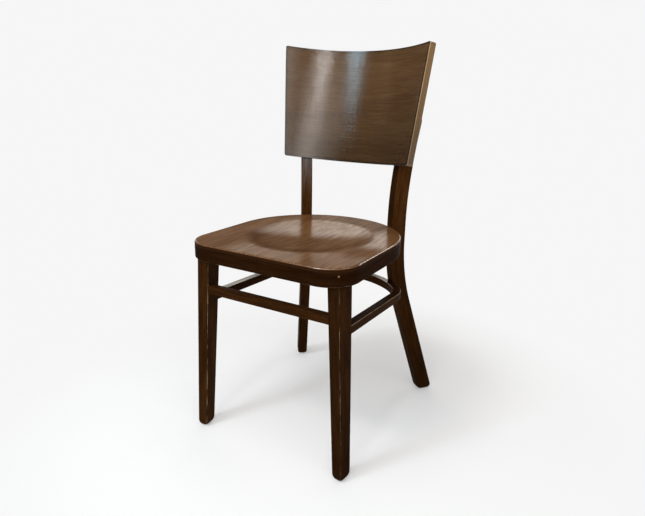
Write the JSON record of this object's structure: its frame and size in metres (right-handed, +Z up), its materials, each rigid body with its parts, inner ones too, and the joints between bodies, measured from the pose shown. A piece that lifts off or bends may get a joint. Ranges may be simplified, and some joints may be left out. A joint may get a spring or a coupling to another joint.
{
  "type": "restaurant chair",
  "caption": "Bentwood side chair with a dished rounded seat, tapered front legs, swept rear legs that run up into posts, a horseshoe stretcher and a curved plywood back panel.",
  "frame": {"origin": "on the floor under the middle of the chair's bounding box", "axes": "+Z up, +X to the right as seen from in front of the chair, the sitter faces -Y"},
  "size_m": [0.427, 0.4956, 0.8703],
  "materials": {
    "seat_wood": "walnut-stained beech plywood under satin lacquer",
    "back_wood": "walnut-stained beech plywood under satin lacquer",
    "frame_wood": "dark walnut-stained beech under satin lacquer",
    "pin_wood": "stained beech end grain under satin lacquer",
    "zinc_steel": "bright zinc plate",
    "glide_plastic": "moulded nylon"
  },
  "bodies": {
    "root": {"seat_panel": "seat_wood", "seat_ring": "frame_wood", "back_panel": "back_wood", "front_stretcher": "frame_wood", "horseshoe_stretcher": "frame_wood", "front_leg_left": "frame_wood", "rear_leg_left": "frame_wood", "leg_pin_left": "pin_wood", "seat_bolt_left": "zinc_steel", "seat_washer_left": "zinc_steel", "seat_nut_left": "zinc_steel", "stretcher_screw_left": "zinc_steel", "back_screw_upper_left": "zinc_steel", "screw_plug_upper_left": "pin_wood", "back_screw_lower_left": "zinc_steel", "screw_plug_lower_left": "pin_wood", "glide_front_left": "glide_plastic", "glide_rear_left": "glide_plastic", "front_leg_right": "frame_wood", "rear_leg_right": "frame_wood", "leg_pin_right": "pin_wood", "seat_bolt_right": "zinc_steel", "seat_washer_right": "zinc_steel", "seat_nut_right": "zinc_steel", "stretcher_screw_right": "zinc_steel", "back_screw_upper_right": "zinc_steel", "screw_plug_upper_right": "pin_wood", "back_screw_lower_right": "zinc_steel", "screw_plug_lower_right": "pin_wood", "glide_front_right": "glide_plastic", "glide_rear_right": "glide_plastic"}
  },
  "joints": []
}
